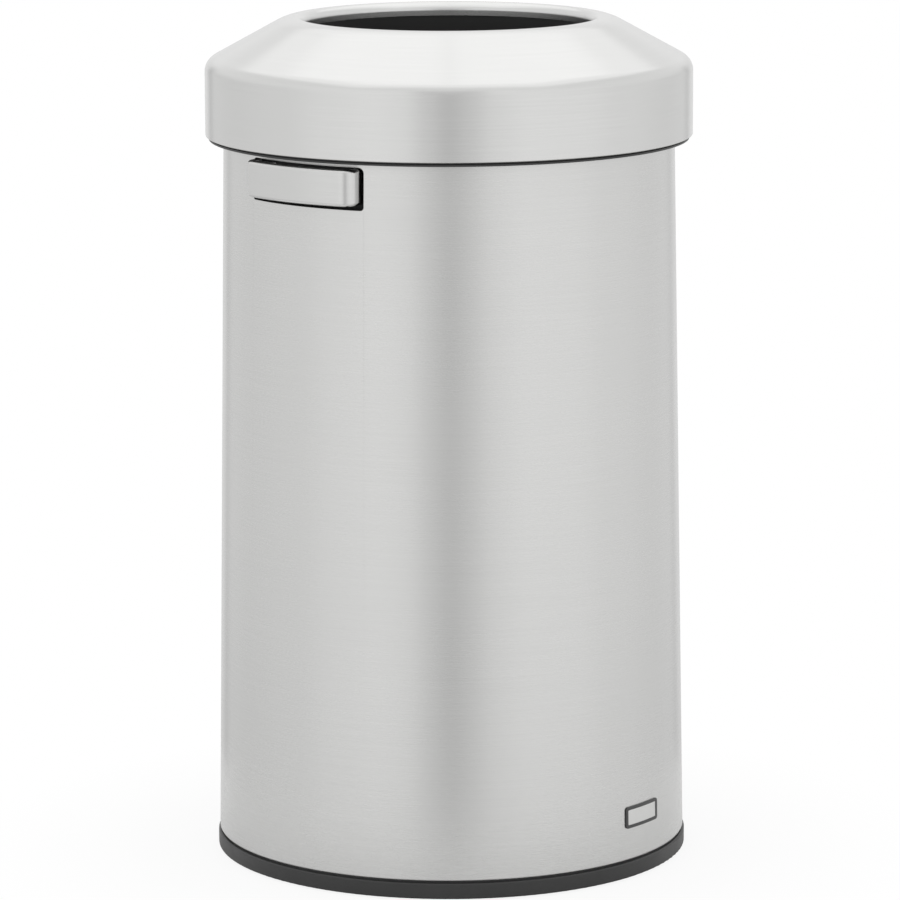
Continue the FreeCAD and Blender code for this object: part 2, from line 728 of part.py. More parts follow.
def knuckle_spans(moving):
    """X ranges of the knuckles, counted from -X; every second one belongs to the body leaf."""
    spans = []
    for i in range(knuckle_count):
        if (i % 2 == 0) == moving:
            start = -hinge_half_width + i * knuckle_pitch
            spans.append((start + knuckle_slit / 2, start + knuckle_pitch - knuckle_slit / 2))
    return spans


def axis_rod(radius, x0, x1):
    return Part.makeCylinder(radius, x1 - x0, FreeCAD.Vector(x0, hinge_y, hinge_height), across)


def make_hinge_pin():
    return axis_rod(pin_radius, -hinge_half_width - pin_overhang, hinge_half_width + pin_overhang)


def make_hinge_body_leaf():
    """Leaf rolled to the body's curve, with two knuckles."""
    plate = body_band(fit, fit + hinge_sheet, leaf_slot, body_leaf_top)
    leaf = plate.common(block(-hinge_half_width, hinge_half_width, 0, hood_radius, leaf_slot, body_leaf_top))
    back = body_radius(hinge_height) + fit
    for x0, x1 in knuckle_spans(False):
        leg = block(x0, x1, back, back + hinge_sheet, hinge_height, leaf_slot + hinge_sheet)
        leaf = leaf.fuse([leg, axis_rod(knuckle_radius, x0, x1)])
    bore = axis_rod(pin_radius + pin_press, -hinge_half_width, hinge_half_width)
    return cut_all(leaf.removeSplitter(), [bore] + hinge_rivet_holes())


def make_hinge_hood_leaf():
    """Leaf that rises behind the body's edge and turns in under the hood ring's shelf."""
    front = leaf_plane - hinge_sheet
    half = hinge_half_width
    inner = hinge_screw_y - leaf_reach
    leaf = block(-half, half, front, leaf_plane, leaf_slot, leaf_top).fuse(
        block(-half, half, inner, leaf_plane, leaf_under, leaf_top))
    for x0, x1 in knuckle_spans(True):
        leg = block(x0, x1, front, leaf_plane, hinge_height, leaf_slot)
        leaf = leaf.fuse([leg, axis_rod(knuckle_radius, x0, x1)])
    holes = [pillar(screw_radius + hole_clearance, p, leaf_under, leaf_top) for p in hinge_screw_places]
    return cut_all(leaf.removeSplitter(), holes + [axis_rod(pin_radius + pin_running, -half, half)])


def make_hinge_rivets():
    inner = body_radius(hinge_rivet_height) - sheet - thread_gap
    outer = body_radius(hinge_rivet_height) + fit + hinge_sheet + thread_gap
    return [rivet(a, hinge_rivet_height, inner, outer) for a in hinge_rivet_angles]


def make_hinge_screws():
    return [upright_screw(p, chute_flange_top, leaf_under) for p in hinge_screw_places]


left = 180
handle = make_handle()
pocket = make_pocket()
nodes = {
    "body_shell": make_body_shell(),
    "base_ring": make_base_ring(),
    "floor_pan": make_floor_pan(),
    "base_screws": make_base_screws(),
    "base_nuts": make_base_nuts(),
    "floor_glides": make_floor_glides(),
    "top_collar": make_top_collar(),
    "collar_rivets": make_collar_rivets(),
    "bag_cinches": make_bag_cinches(),
    "hood_bumpers": make_hood_bumpers(),
    "left_handle": turn(handle, left),
    "right_handle": handle,
    "left_handle_pocket": turn(pocket, left),
    "right_handle_pocket": pocket,
    "handle_screws": both_sides(make_handle_screws()),
    "handle_nuts": both_sides(make_handle_nuts()),
    "pocket_studs": both_sides(make_pocket_studs()),
    "pocket_nuts": both_sides(make_pocket_nuts()),
    "badge_plate": make_badge_plate(),
    "badge_panel": make_badge_panel(),
    "hood_skin": make_hood_skin(),
    "hood_frame": make_hood_frame(),
    "hood_chute": make_hood_chute(),
    "chute_screws": make_chute_screws(),
    "hinge_body_leaf": make_hinge_body_leaf(),
    "hinge_hood_leaf": make_hinge_hood_leaf(),
    "hinge_pin": make_hinge_pin(),
    "hinge_rivets": make_hinge_rivets(),
    "hinge_screws": make_hinge_screws(),
}

os.makedirs("parts", exist_ok=True)
for name, shape in nodes.items():
    solid = Part.makeCompound(shape) if isinstance(shape, list) else shape
    solid.exportStep("parts/" + name + ".step")
    print(name, len(solid.Solids), "solid(s), valid", solid.isValid(), "volume", round(solid.Volume))
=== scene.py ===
# %% [markdown]
# # A round steel waste container
# The container stands on a moulded foot, has a tapered brushed-steel body with two bridge handles,
# and a hinged hood with an open mouth. The CAD model gives every size and place; this lesson
# dresses it. We load the imported model first.

# %% Load the imported model
import math

import bmesh
import bpy
from mathutils import Matrix, Vector


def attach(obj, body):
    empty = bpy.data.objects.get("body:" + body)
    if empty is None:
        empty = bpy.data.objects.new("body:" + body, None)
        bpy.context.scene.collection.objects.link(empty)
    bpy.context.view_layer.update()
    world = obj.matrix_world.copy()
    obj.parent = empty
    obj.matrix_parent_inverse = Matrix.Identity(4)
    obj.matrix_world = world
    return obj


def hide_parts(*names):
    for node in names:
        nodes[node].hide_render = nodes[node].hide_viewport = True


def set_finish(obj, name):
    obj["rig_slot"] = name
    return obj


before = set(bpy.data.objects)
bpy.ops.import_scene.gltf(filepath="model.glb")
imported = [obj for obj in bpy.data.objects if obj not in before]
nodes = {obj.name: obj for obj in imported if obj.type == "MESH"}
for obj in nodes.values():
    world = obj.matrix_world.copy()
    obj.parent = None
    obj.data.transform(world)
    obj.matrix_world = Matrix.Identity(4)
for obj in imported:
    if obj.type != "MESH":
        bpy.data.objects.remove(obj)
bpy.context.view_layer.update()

MM = 0.001


# %% [markdown]
# ## Helpers for turned pieces
# Most of this object is sheet turned round one axis. A turned piece needs its outline only: we draw
# it with an extruded vertex for each straight run and a spun vertex for each rounded corner, then
# spin the whole outline round the Z axis. A Screw modifier would turn it too, but a spun bmesh can
# be cut and bevelled at once. Lengths are in millimetres, as on a drawing, and become metres only
# where a mesh is made. Radii are counted from the container's axis and heights from the floor.

# %% Draw an outline
ARC_STEP, LEAST_ARC_STEPS = 6, 3
MERGE = 0.001 * MM


def line_to(bm, tip, point):
    """Extrude the outline's last vertex to a point (radius, height)."""
    made = bmesh.ops.extrude_vert_indiv(bm, verts=[tip])["verts"][0]
    made.co = (point[0] * MM, 0, point[1] * MM)
    return made


def round_corner(bm, tip, here, before, after, rounding):
    """Run up to a corner and spin the last vertex round it."""
    half = before.angle(after) / 2
    tip = line_to(bm, tip, here + before * (rounding / math.tan(half)))
    middle = here + (before + after).normalized() * (rounding / math.sin(half))
    turning = math.pi - 2 * half
    side = -1 if before.cross(after) < 0 else 1
    steps = max(LEAST_ARC_STEPS, round(math.degrees(turning) / ARC_STEP))
    arc = bmesh.ops.spin(bm, geom=[tip], cent=(middle.x * MM, 0, middle.y * MM),
                         axis=(0, side, 0), angle=turning, steps=steps)
    return [g for g in arc["geom_last"] if isinstance(g, bmesh.types.BMVert)][0]


def draw_outline(bm, corners):
    """Draw a closed outline through corners (radius, height) or (radius, height, rounding)."""
    points = [Vector(c[:2]) for c in corners]
    start = points[0].lerp(points[-1], 0.5)
    tip = bmesh.ops.create_vert(bm, co=(start.x * MM, 0, start.y * MM))["vert"][0]
    for i, corner in enumerate(corners):
        before = (points[i - 1] - points[i]).normalized()
        after = (points[(i + 1) % len(points)] - points[i]).normalized()
        if len(corner) == 3:
            tip = round_corner(bm, tip, points[i], before, after, corner[2])
        else:
            tip = line_to(bm, tip, points[i])
    line_to(bm, tip, start)
    bmesh.ops.remove_doubles(bm, verts=bm.verts, dist=MERGE)


print("rounded corners turn by about", ARC_STEP, "degrees a step")

# %% Make an object and spin an outline
SHARP_ANGLE = 35


def make_piece(name, bm, sharp=SHARP_ANGLE):
    """Turn a bmesh into an object at the origin, smooth apart from its sharp edges."""
    mesh = bpy.data.meshes.new(name)
    bm.to_mesh(mesh)
    bm.free()
    mesh.shade_smooth()
    mesh.set_sharp_from_angle(angle=math.radians(sharp))
    made = bpy.data.objects.new(name, mesh)
    bpy.context.scene.collection.objects.link(made)
    return made


def turned(name, corners, steps):
    """Spin a closed outline round the Z axis."""
    bm = bmesh.new()
    draw_outline(bm, corners)
    bmesh.ops.spin(bm, geom=bm.verts[:] + bm.edges[:], cent=(0, 0, 0), axis=(0, 0, 1),
                   angle=2 * math.pi, steps=steps, use_merge=True)
    bmesh.ops.remove_doubles(bm, verts=bm.verts, dist=MERGE)
    bmesh.ops.recalc_face_normals(bm, faces=bm.faces)
    made = make_piece(name, bm)
    print(name, "has", len(made.data.polygons), "faces")
    return made


# %% [markdown]
# ## Edges and cuts
# No real edge is perfectly sharp: cut sheet is deburred and a moulding leaves its tool with a small
# round. A Bevel modifier gives that, and weighted normals let the large faces lead the shading, so
# that flat stays flat. A cut such as a handle opening is easiest as a boolean with a rounded block,
# applied at once so that nothing hidden stays.

# %% Break edges
BREAK_ANGLE, BREAK_SEGMENTS = 40, 2


def soft_edges(piece, width, harden=True):
    """Break a piece's sharp edges by a width in mm."""
    bevel = piece.modifiers.new("broken edges", "BEVEL")
    bevel.width = width * MM
    bevel.segments = BREAK_SEGMENTS
    bevel.limit_method = "ANGLE"
    bevel.angle_limit = math.radians(BREAK_ANGLE)
    bevel.harden_normals = harden


def flat_faces_lead(piece):
    """Let a piece's large faces lead its shading."""
    piece.modifiers.new("flat faces lead", "WEIGHTED_NORMAL").keep_sharp = True


print("edges are broken where faces meet at more than", BREAK_ANGLE, "degrees")

# %% Cut with a block
BLOCK_SEGMENTS = 8


def rounded_block(name, low, high, low_round, high_round):
    """Block between two corners in mm; its lower and upper edges along X have a radius each."""
    bm = bmesh.new()
    bmesh.ops.create_cube(bm, size=1)
    size = Vector(high) - Vector(low)
    middle = (Vector(high) + Vector(low)) / 2
    bmesh.ops.scale(bm, verts=bm.verts, vec=size * MM)
    bmesh.ops.translate(bm, verts=bm.verts, vec=middle * MM)
    long_edge = size.x * MM / 2
    along = [e for e in bm.edges if abs((e.verts[0].co - e.verts[1].co).x) > long_edge]
    lower = [e for e in along if e.verts[0].co.z < middle.z * MM]
    upper = [e for e in along if e.verts[0].co.z > middle.z * MM]
    for edges, rounding in ((lower, low_round), (upper, high_round)):
        bmesh.ops.bevel(bm, geom=edges, offset=rounding * MM, affect="EDGES",
                        segments=BLOCK_SEGMENTS, profile=0.5, material=-1)
    return make_piece(name, bm)


def carve(target, tool):
    """Take a tool's room out of a piece."""
    cut = target.modifiers.new("cut", "BOOLEAN")
    cut.object = tool
    cut.operation = "DIFFERENCE"
    cut.solver = "EXACT"
    ready = target.evaluated_get(bpy.context.evaluated_depsgraph_get())
    mesh = bpy.data.meshes.new_from_object(ready)
    target.modifiers.remove(cut)
    target.data = mesh
    bpy.data.objects.remove(tool)


# %% [markdown]
# ## Body
# The body is one steel sheet rolled to a slightly tapered tube, turned in at the bottom. A cone
# primitive would give the outside only; the spun outline gives the wall, the bend and the flange
# in one. Its sizes, like all sizes here, repeat the CAD's own.

# %% Body sheet
SHEET = 1.0
BODY_BOTTOM, BODY_TOP = 17.2, 688.8
BODY_FOOT, BODY_NECK, NECK_HEIGHT = 217.4, 207.2, 668.8
BODY_BEND, FLANGE, BODY_STEPS = 2.0, 198.6, 256


def body_radius(height):
    """Outside radius of the tapered body at a height."""
    share = (height - BODY_BOTTOM) / (NECK_HEIGHT - BODY_BOTTOM)
    return BODY_FOOT + (BODY_NECK - BODY_FOOT) * share


rim = body_radius(BODY_TOP)
body_sheet = turned("body_sheet", [
    (BODY_FOOT, BODY_BOTTOM, BODY_BEND), (rim, BODY_TOP), (rim - SHEET, BODY_TOP),
    (BODY_FOOT - SHEET, BODY_BOTTOM + SHEET, BODY_BEND - SHEET),
    (FLANGE, BODY_BOTTOM + SHEET), (FLANGE, BODY_BOTTOM)], steps=BODY_STEPS)
print("body radius at the rim:", round(rim, 2), "mm")

# %% [markdown]
# ## Handle openings
# Each handle bridges an opening in the sheet, so that fingers can reach behind it. Deleting faces
# would open the wall too, but leave ragged, open edges; cutting with a block keeps the wall closed
# and gives the opening its round corners.

# %% Handle openings
OPENING_HALF, OPENING_LOW, OPENING_HIGH = 65.0, 622.8, 661.0
OPENING_LOW_ROUND, OPENING_HIGH_ROUND = 3.0, 5.0
TOOL_START, TOOL_END = BODY_NECK * 0.7, BODY_FOOT * 1.1
BODY_EDGE = 0.25
for side in (-1, 1):
    near, far = sorted((side * TOOL_START, side * TOOL_END))
    opening_tool = rounded_block("opening_tool", (near, -OPENING_HALF, OPENING_LOW),
                                 (far, OPENING_HALF, OPENING_HIGH),
                                 OPENING_LOW_ROUND, OPENING_HIGH_ROUND)
    carve(body_sheet, opening_tool)
soft_edges(body_sheet, BODY_EDGE)
flat_faces_lead(body_sheet)
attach(body_sheet, "body")
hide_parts("body_shell")
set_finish(body_sheet, "body_steel")
print("body sheet with its openings:", len(body_sheet.data.polygons), "faces")

# %% [markdown]
# ## Hood
# The hood is spun from one sheet: a folded hem, an upright skirt, a rounded shoulder, a cone, and a
# lip that rolls over into the mouth. A bevelled cone primitive would come near, but the lip and the
# shoulder carry the brightest lights, so their arcs are true spun arcs.

# %% Hood shell
HOOD_OUTER, HOOD_EDGE, HEM, HOOD_STEPS = 223.818, 668.8, 2.8, 320
SHOULDER_HEIGHT, SHOULDER_ROUND = 736.2, 15.0
CONE_SLOPE = math.radians(28.8)
CREST_ROUND, LIP_ROUND, LIP_WALL, MOUTH = 40.0, 8.0, 4.5, 132.0
crest_corner = MOUTH + LIP_ROUND + CREST_ROUND * math.tan(CONE_SLOPE / 2)
crest_height = SHOULDER_HEIGHT + (HOOD_OUTER - crest_corner) * math.tan(CONE_SLOPE)
lip_end = crest_height - LIP_ROUND - LIP_WALL


def hood_line(inset):
    """Corners of the hood's face moved in by a distance, from the shoulder to the lip."""
    shift = inset * math.tan(CONE_SLOPE / 2)
    shoulder = SHOULDER_HEIGHT - inset / math.cos(CONE_SLOPE) + inset * math.tan(CONE_SLOPE)
    return [(HOOD_OUTER - inset, shoulder, SHOULDER_ROUND - inset),
            (crest_corner - shift, crest_height - inset, CREST_ROUND - inset),
            (MOUTH + inset, crest_height - inset, LIP_ROUND - inset)]


hem_below = [(HOOD_OUTER - HEM, HOOD_EDGE), (HOOD_OUTER, HOOD_EDGE, SHEET)]
lip_edge = [(MOUTH, lip_end), (MOUTH + SHEET, lip_end)]
hem_above = [(HOOD_OUTER - SHEET, HOOD_EDGE + SHEET), (HOOD_OUTER - HEM, HOOD_EDGE + SHEET)]
hood_shell = turned("hood_shell", hem_below + hood_line(0) + lip_edge
                    + hood_line(SHEET)[::-1] + hem_above, steps=HOOD_STEPS)
flat_faces_lead(hood_shell)
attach(hood_shell, "hood")
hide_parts("hood_skin")
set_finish(hood_shell, "hood_steel")
print("hood crest at", round(crest_height, 2), "mm")

# %% [markdown]
# ## The other pieces
# A CAD node is a set of loose triangles with knife-sharp edges. Where its shape is right, a dressed
# copy stands for it. Merging lets neighbouring triangles share their normals, dissolving flat edges
# turns triangles into whole faces, and then every sharp edge can be broken by its own width: a
# rubber glide is rounder than a hinge leaf. The chute is round all over and has no flat faces to
# lead its shading, so it keeps plain smooth normals.

# %% Dress a CAD node
NODE_MERGE, NODE_FLAT_ANGLE, NODE_SHARP_ANGLE = 0.002 * MM, 0.3, 32


def dressed_copy(node, name, body, slot, edge, flat=True):
    """Merged copy of a CAD node, its edges broken by a width in mm, that stands for the node."""
    bm = bmesh.new()
    bm.from_mesh(nodes[node].data)
    bmesh.ops.remove_doubles(bm, verts=bm.verts, dist=NODE_MERGE)
    bmesh.ops.dissolve_limit(bm, angle_limit=math.radians(NODE_FLAT_ANGLE), verts=bm.verts,
                             edges=bm.edges)
    made = make_piece(name, bm, sharp=NODE_SHARP_ANGLE)
    node_normals = made.data.attributes.get("custom_normal")
    if node_normals:
        made.data.attributes.remove(node_normals)
    soft_edges(made, edge, harden=flat)
    if flat:
        flat_faces_lead(made)
    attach(made, body)
    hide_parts(node)
    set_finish(made, slot)
    return made


# %% Dressed copies
copies = {
    "base_ring": ("foot_ring", "body", "foot_plastic", 0.3),
    "floor_pan": ("floor_pan_sheet", "body", "pan_steel", 0.25),
    "base_screws": ("foot_screws", "body", "zinc", 0.35),
    "base_nuts": ("foot_nuts", "body", "zinc", 0.4),
    "floor_glides": ("glides", "body", "rubber", 0.8),
    "top_collar": ("collar", "body", "collar_plastic", 0.4),
    "collar_rivets": ("rivets_of_collar", "body", "rivet_steel", 0.5),
    "bag_cinches": ("cinches", "body", "collar_plastic", 0.6),
    "hood_bumpers": ("bumpers", "body", "rubber", 0.6),
    "left_handle": ("handle_left", "body", "handle_steel", 0.2),
    "right_handle": ("handle_right", "body", "handle_steel", 0.2),
    "left_handle_pocket": ("pocket_left", "body", "pocket_plastic", 0.5),
    "right_handle_pocket": ("pocket_right", "body", "pocket_plastic", 0.5),
    "handle_screws": ("screws_of_handles", "body", "zinc", 0.35),
    "handle_nuts": ("nuts_of_handles", "body", "zinc", 0.4),
    "pocket_studs": ("studs_of_pockets", "body", "zinc", 0.3),
    "pocket_nuts": ("nuts_of_pockets", "body", "zinc", 0.4),
    "badge_plate": ("badge_border", "body", "badge_dark", 0.2),
    "badge_panel": ("badge_inset", "body", "badge_panel", 0.12),
    "hood_frame": ("hood_ring", "hood", "hood_plastic", 0.25),
    "hood_chute": ("chute", "hood", "chute_plastic", 0.4),
    "chute_screws": ("screws_of_chute", "hood", "zinc", 0.35),
    "hinge_body_leaf": ("hinge_leaf_low", "body", "hinge_steel", 0.2),
    "hinge_hood_leaf": ("hinge_leaf_high", "hood", "hinge_steel", 0.2),
    "hinge_pin": ("pin", "body", "hinge_steel", 0.4),
    "hinge_rivets": ("rivets_of_hinge", "body", "rivet_steel", 0.5),
    "hinge_screws": ("screws_of_hinge", "hood", "zinc", 0.35),
}
pieces = {"body_shell": body_sheet, "hood_skin": hood_shell}
for node, (name, body, slot, edge) in copies.items():
    pieces[node] = dressed_copy(node, name, body, slot, edge, flat=node != "hood_chute")
print("dressed copies:", len(copies))

# %% [markdown]
# ## Brushed grain, as a node group
# Brushed sheet is covered with fine scratches that run one way. A Wave texture would repeat too
# evenly. Stretched noise does better: it changes slowly along the sheet and fast across it. Several
# metals use it, so it is a group with named sockets, and its outputs are plain values that the
# materials turn into colour, roughness and bump.


# %% Tools for node trees
def group_tree(name, inputs, outputs):
    """New shader node group; returns its tree with its two end nodes."""
    tree = bpy.data.node_groups.new(name, "ShaderNodeTree")
    for label, kind, value in inputs:
        socket = tree.interface.new_socket(label, in_out="INPUT", socket_type=kind)
        if value is not None:
            socket.default_value = value
    for label, kind in outputs:
        tree.interface.new_socket(label, in_out="OUTPUT", socket_type=kind)
    return tree, tree.nodes.new("NodeGroupInput"), tree.nodes.new("NodeGroupOutput")


def add(tree, kind, settings=None, **links):
    """New node; settings are its properties, links go to inputs by name or, as i0, by number."""
    node = tree.nodes.new(kind)
    for key, value in (settings or {}).items():
        setattr(node, key, value)
    for key, value in links.items():
        by_number = key[0] == "i" and key[1:].isdigit()
        socket = node.inputs[int(key[1:]) if by_number else key.replace("_", " ")]
        if isinstance(value, bpy.types.NodeSocket):
            tree.links.new(value, socket)
        else:
            socket.default_value = value
    return node


def math_node(tree, operation, a, b=0.0, c=0.0):
    """Output of a Math node."""
    return add(tree, "ShaderNodeMath", {"operation": operation}, i0=a, i1=b, i2=c).outputs[0]


def remap(tree, value, low, high, new_low, new_high):
    """Value from one range to another, held at the ends."""
    made = add(tree, "ShaderNodeMapRange", {"clamp": True}, Value=value)
    ends = {"From Min": low, "From Max": high, "To Min": new_low, "To Max": new_high}
    for socket, number in ends.items():
        made.inputs[socket].default_value = number
    return made.outputs["Result"]


# %% Group: brushed grain
VECTOR, FLOAT = "NodeSocketVector", "NodeSocketFloat"
brushed_grain, grain_in, grain_out = group_tree(
    "brushed_grain",
    [("Place", VECTOR, None), ("Along", FLOAT, 9.0), ("Across", FLOAT, 1500.0),
     ("Slope", FLOAT, 0.0)],
    [("Streak", FLOAT), ("Fine", FLOAT), ("Cloud", FLOAT)])
given = grain_in.outputs
split = add(brushed_grain, "ShaderNodeSeparateXYZ", Vector=given["Place"]).outputs
level = add(brushed_grain, "ShaderNodeCombineXYZ", X=split["X"], Y=split["Y"])
reach = add(brushed_grain, "ShaderNodeVectorMath", {"operation": "LENGTH"},
            i0=level.outputs["Vector"])
height = math_node(brushed_grain, "MULTIPLY_ADD", reach.outputs["Value"], given["Slope"],
                   split["Z"])
stretched = add(brushed_grain, "ShaderNodeCombineXYZ",
                X=math_node(brushed_grain, "MULTIPLY", split["X"], given["Along"]),
                Y=math_node(brushed_grain, "MULTIPLY", split["Y"], given["Along"]),
                Z=math_node(brushed_grain, "MULTIPLY", height, given["Across"]))
streak = add(brushed_grain, "ShaderNodeTexNoise", Vector=stretched.outputs["Vector"],
             Scale=1.0, Detail=3.0, Roughness=0.65)
fine = add(brushed_grain, "ShaderNodeTexNoise", Vector=stretched.outputs["Vector"],
           Scale=3.7, Detail=2.0, Roughness=0.7)
cloud = add(brushed_grain, "ShaderNodeTexNoise", Vector=given["Place"],
            Scale=9.0, Detail=3.0, Roughness=0.55)
for label, made in (("Streak", streak), ("Fine", fine), ("Cloud", cloud)):
    brushed_grain.links.new(made.outputs[0], grain_out.inputs[label])
print("group", brushed_grain.name, "has", len(brushed_grain.nodes), "nodes")

# %% [markdown]
# ## Moulded grain, as a node group
# Moulded plastic has a fine spark-eroded texture and slightly uneven gloss. A Voronoi texture would
# show cells, as on leather, so fine noise gives the grain, and a large soft one the unevenness.

# %% Group: moulded grain
moulded_grain, mould_in, mould_out = group_tree(
    "moulded_grain",
    [("Place", VECTOR, None), ("Grain", FLOAT, 1800.0), ("Patches", FLOAT, 14.0)],
    [("Grain", FLOAT), ("Patch", FLOAT)])
given = mould_in.outputs
coarse = add(moulded_grain, "ShaderNodeTexNoise", Vector=given["Place"], Scale=given["Grain"],
             Detail=2.0)
patch = add(moulded_grain, "ShaderNodeTexNoise", Vector=given["Place"], Scale=given["Patches"],
            Detail=4.0, Roughness=0.6)
moulded_grain.links.new(coarse.outputs[0], mould_out.inputs["Grain"])
moulded_grain.links.new(patch.outputs[0], mould_out.inputs["Patch"])
print("group", moulded_grain.name, "has", len(moulded_grain.nodes), "nodes")

# %% [markdown]
# ## Steel
# The sheet is stainless steel, brushed round the container. A smooth metal would show the room too
# clearly. Here colour and roughness follow the streaks a little, and the shader is anisotropic:
# brushing round the axis spreads a reflection upright, so the tangent is turned a quarter. Large
# soft clouds keep the sheet from looking like a perfect computer surface.

# %% Start a material
NOISE_LOW, NOISE_HIGH = 0.25, 0.75


def tint(tree, colour, value, spread):
    """Colour made darker and lighter by a noise value."""
    shade = remap(tree, value, NOISE_LOW, NOISE_HIGH, 1 - spread, 1 + spread)
    return add(tree, "ShaderNodeVectorMath", {"operation": "SCALE"}, i0=colour,
               Scale=shade).outputs[0]


def empty_material(name):
    """Material with its tree, the socket that its shader goes to, and Object coordinates."""
    made = bpy.data.materials.new(name)
    made.use_nodes = True
    tree = made.node_tree
    tree.nodes.clear()
    surface = tree.nodes.new("ShaderNodeOutputMaterial").inputs["Surface"]
    place = tree.nodes.new("ShaderNodeTexCoord").outputs["Object"]
    return made, tree, surface, place


def shaded_material(name):
    """Material with its tree, its shader and Object coordinates."""
    made, tree, surface, place = empty_material(name)
    shader = tree.nodes.new("ShaderNodeBsdfPrincipled")
    tree.links.new(shader.outputs[0], surface)
    return made, tree, shader, place


# %% Make brushed metal
ANISOTROPY, QUARTER_TURN = 0.6, 0.25
CLOUD_ROUGH, SCRATCH_ROUGH = 0.06, 0.08
SCRATCH_BUMP, SCRATCH_DEPTH = 0.1, 0.05 * MM


def brushed_metal(name, colour, rough, along=9.0, across=1500.0, slope=0.0, streaks=0.025,
                  round_axis=True):
    """Metal with grain; along and across are its scales, slope tilts it to follow a cone."""
    made, tree, shader, place = shaded_material(name)
    grain = add(tree, "ShaderNodeGroup", {"node_tree": brushed_grain}, Place=place, Along=along,
                Across=across, Slope=slope).outputs
    tree.links.new(tint(tree, colour, grain["Streak"], streaks), shader.inputs["Base Color"])
    uneven = math_node(tree, "MULTIPLY_ADD", grain["Cloud"], CLOUD_ROUGH, rough - CLOUD_ROUGH / 2)
    scratched = math_node(tree, "MULTIPLY_ADD", grain["Fine"], SCRATCH_ROUGH, uneven)
    centred = math_node(tree, "SUBTRACT", scratched, SCRATCH_ROUGH / 2)
    tree.links.new(centred, shader.inputs["Roughness"])
    bump = add(tree, "ShaderNodeBump", Height=grain["Fine"], Strength=SCRATCH_BUMP,
               Distance=SCRATCH_DEPTH)
    tree.links.new(bump.outputs["Normal"], shader.inputs["Normal"])
    shader.inputs["Metallic"].default_value = 1.0
    if round_axis:
        shader.inputs["Anisotropic"].default_value = ANISOTROPY
        shader.inputs["Anisotropic Rotation"].default_value = QUARTER_TURN
        tangent = add(tree, "ShaderNodeTangent", {"direction_type": "RADIAL", "axis": "Z"})
        tree.links.new(tangent.outputs[0], shader.inputs["Tangent"])
    return made


# %% Metals
steel_body = brushed_metal("brushed_steel_body", (0.612, 0.612, 0.604), 0.28)
steel_hood = brushed_metal("brushed_steel_hood", (0.62, 0.62, 0.613), 0.22, slope=-0.8)
steel_handle = brushed_metal("brushed_steel_handle", (0.60, 0.60, 0.593), 0.24, across=1800.0)
steel_inside = brushed_metal("mill_steel_inside", (0.50, 0.50, 0.492), 0.42, along=14.0,
                             across=220.0, streaks=0.04, round_axis=False)
steel_pan = brushed_metal("mill_steel_pan", (0.52, 0.52, 0.51), 0.36, along=30.0, across=300.0,
                          round_axis=False)
steel_hinge = brushed_metal("steel_hinge", (0.50, 0.50, 0.49), 0.34, along=60.0, across=900.0,
                            round_axis=False)
steel_rivet = brushed_metal("steel_rivet", (0.55, 0.55, 0.54), 0.28, along=500.0, across=900.0,
                            round_axis=False)
zinc = brushed_metal("zinc_plating", (0.46, 0.47, 0.49), 0.33, along=260.0, across=260.0,
                     streaks=0.06, round_axis=False)
badge_satin = brushed_metal("satin_badge_panel", (0.66, 0.66, 0.65), 0.3, along=60.0,
                            across=2400.0, round_axis=False)
metals = (steel_body, steel_hood, steel_handle, steel_inside, steel_pan, steel_hinge, steel_rivet,
          zinc, badge_satin)
print("metals:", [metal.name for metal in metals])

# %% [markdown]
# ## Black plastics and rubber
# The mouldings are one black plastic with different grains, the rubber is duller. One plain black
# would look like a hole, so grain goes into a small bump, and patches into colour and roughness.

# %% Make black mouldings
PATCH_TINT, PATCH_LOW, PATCH_HIGH = 0.18, 0.3, 0.7
PATCH_GLOSSIER, PATCH_DULLER = 0.05, 0.07
GRAIN_DEPTH = 0.1 * MM


def moulded(name, colour, rough, grain=1800.0, bump=0.25):
    """Plastic or rubber; grain is the texture's scale and bump its strength."""
    made, tree, shader, place = shaded_material(name)
    texture = add(tree, "ShaderNodeGroup", {"node_tree": moulded_grain}, Place=place,
                  Grain=grain).outputs
    tree.links.new(tint(tree, colour, texture["Patch"], PATCH_TINT), shader.inputs["Base Color"])
    uneven = remap(tree, texture["Patch"], PATCH_LOW, PATCH_HIGH, rough - PATCH_GLOSSIER,
                   rough + PATCH_DULLER)
    tree.links.new(uneven, shader.inputs["Roughness"])
    grainy = add(tree, "ShaderNodeBump", Height=texture["Grain"], Strength=bump,
                 Distance=GRAIN_DEPTH)
    tree.links.new(grainy.outputs["Normal"], shader.inputs["Normal"])
    return made


# %% Mouldings
foot_black = moulded("foot_plastic", (0.022, 0.022, 0.022), 0.42)
ring_black = moulded("hood_ring_plastic", (0.020, 0.020, 0.020), 0.45)
chute_black = moulded("chute_plastic", (0.012, 0.012, 0.012), 0.5, grain=1300.0, bump=0.4)
collar_black = moulded("collar_plastic", (0.018, 0.018, 0.018), 0.45)
pocket_black = moulded("pocket_plastic", (0.035, 0.035, 0.035), 0.55, grain=1500.0, bump=0.4)
rubber = moulded("rubber", (0.024, 0.023, 0.022), 0.75, grain=1000.0, bump=0.35)
badge_black = moulded("badge_border_plastic", (0.035, 0.035, 0.035), 0.35, grain=2600.0, bump=0.12)
mouldings = (foot_black, ring_black, chute_black, collar_black, pocket_black, rubber, badge_black)
print("mouldings:", [moulding.name for moulding in mouldings])

# %% [markdown]
# ## Finishes
# Each piece takes the finish that its slot in the record names, so one table dresses them all. The
# sheets are brushed on the outside only. Their inside faces could be a piece of their own, but a
# second material slot on the same mesh leaves no seam: a face gets it where it looks inwards, or
# down under the hood.

